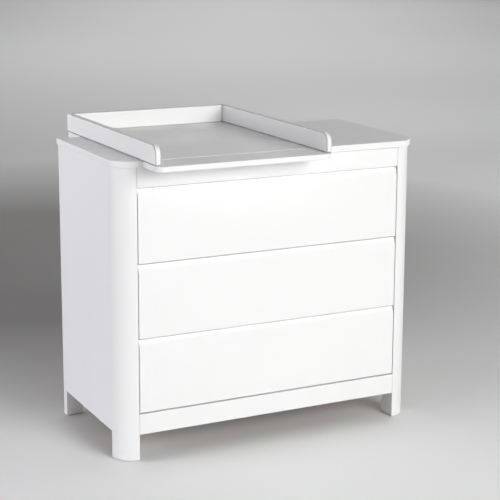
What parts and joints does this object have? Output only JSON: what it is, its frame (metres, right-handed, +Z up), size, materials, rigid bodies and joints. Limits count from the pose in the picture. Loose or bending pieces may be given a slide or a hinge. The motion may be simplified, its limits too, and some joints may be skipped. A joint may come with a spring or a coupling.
{
  "type": "changing table",
  "caption": "White chest of handleless drawers on short feet with rounded front posts, and a lift-off changing tray with raised borders on its top panel.",
  "frame": {"origin": "on the floor, under the centre of the bounding box", "axes": "+Z up, -Y the way the drawers open, +X along the chest's width to the right when facing the drawers"},
  "size_m": [0.975, 0.728, 0.926],
  "materials": {
    "white_lacquer": "satin white lacquer on fibreboard and solid wood",
    "inner_board": "matt white foil on board",
    "brown_fibreboard": "raw hardboard",
    "zinc_steel": "bright zinc plated",
    "beech": "unfinished beech",
    "grey_plastic": "matt moulded",
    "grey_rubber": "soft matt"
  },
  "bodies": {
    "chest": {"top_panel": "white_lacquer", "left_side_panel": "white_lacquer", "right_side_panel": "white_lacquer", "left_front_post": "white_lacquer", "right_front_post": "white_lacquer", "left_rear_post": "white_lacquer", "right_rear_post": "white_lacquer", "upper_front_rail": "white_lacquer", "lower_front_rail": "white_lacquer", "upper_rear_rail": "inner_board", "lower_rear_rail": "inner_board", "bottom_panel": "brown_fibreboard", "back_panel": "brown_fibreboard", "left_runner_battens": "inner_board", "right_runner_battens": "inner_board", "foot_glides": "grey_plastic", "wood_dowels": "beech", "cam_locks": "zinc_steel", "cam_bolts": "zinc_steel", "top_brackets": "zinc_steel", "top_bracket_screws": "zinc_steel", "back_panel_screws": "zinc_steel", "runner_screws": "zinc_steel", "top_outer_channels": "zinc_steel", "middle_outer_channels": "zinc_steel", "bottom_outer_channels": "zinc_steel"},
    "top_drawer": {"top_drawer_front": "white_lacquer", "top_drawer_left_side": "inner_board", "top_drawer_right_side": "inner_board", "top_drawer_back": "inner_board", "top_drawer_bottom": "inner_board", "top_inner_channels": "zinc_steel", "top_drawer_fittings": "zinc_steel"},
    "top_runner_centres": {"top_centre_channels": "zinc_steel"},
    "middle_drawer": {"middle_drawer_front": "white_lacquer", "middle_drawer_left_side": "inner_board", "middle_drawer_right_side": "inner_board", "middle_drawer_back": "inner_board", "middle_drawer_bottom": "inner_board", "middle_inner_channels": "zinc_steel", "middle_drawer_fittings": "zinc_steel"},
    "middle_runner_centres": {"middle_centre_channels": "zinc_steel"},
    "bottom_drawer": {"bottom_drawer_front": "white_lacquer", "bottom_drawer_left_side": "inner_board", "bottom_drawer_right_side": "inner_board", "bottom_drawer_back": "inner_board", "bottom_drawer_bottom": "inner_board", "bottom_inner_channels": "zinc_steel", "bottom_drawer_fittings": "zinc_steel"},
    "bottom_runner_centres": {"bottom_centre_channels": "zinc_steel"},
    "tray": {"tray_left_border": "white_lacquer", "tray_right_border": "white_lacquer", "tray_rear_border": "white_lacquer", "tray_front_board": "white_lacquer", "tray_rear_board": "white_lacquer", "tray_dowels": "beech", "tray_screws": "zinc_steel", "tray_brackets": "zinc_steel", "tray_pads": "grey_rubber"}
  },
  "joints": [
    {"name": "top_drawer_slide", "type": "slide", "parent": "chest", "child": "top_drawer", "axis": [0, -1, 0], "range_m": [0, 0.38]},
    {"name": "top_runner_slide", "type": "slide", "parent": "chest", "child": "top_runner_centres", "axis": [0, -1, 0], "range_m": [0, 0.19]},
    {"name": "middle_drawer_slide", "type": "slide", "parent": "chest", "child": "middle_drawer", "axis": [0, -1, 0], "range_m": [0, 0.38]},
    {"name": "middle_runner_slide", "type": "slide", "parent": "chest", "child": "middle_runner_centres", "axis": [0, -1, 0], "range_m": [0, 0.19]},
    {"name": "bottom_drawer_slide", "type": "slide", "parent": "chest", "child": "bottom_drawer", "axis": [0, -1, 0], "range_m": [0, 0.38]},
    {"name": "bottom_runner_slide", "type": "slide", "parent": "chest", "child": "bottom_runner_centres", "axis": [0, -1, 0], "range_m": [0, 0.19]},
    {"name": "tray_lift", "type": "slide", "parent": "chest", "child": "tray", "axis": [0, 0, 1], "range_m": [0, 0.15]}
  ],
  "couplings": [
    {"joint": "top_runner_slide", "follows": "top_drawer_slide", "ratio": 0.5},
    {"joint": "middle_runner_slide", "follows": "middle_drawer_slide", "ratio": 0.5},
    {"joint": "bottom_runner_slide", "follows": "bottom_drawer_slide", "ratio": 0.5}
  ]
}
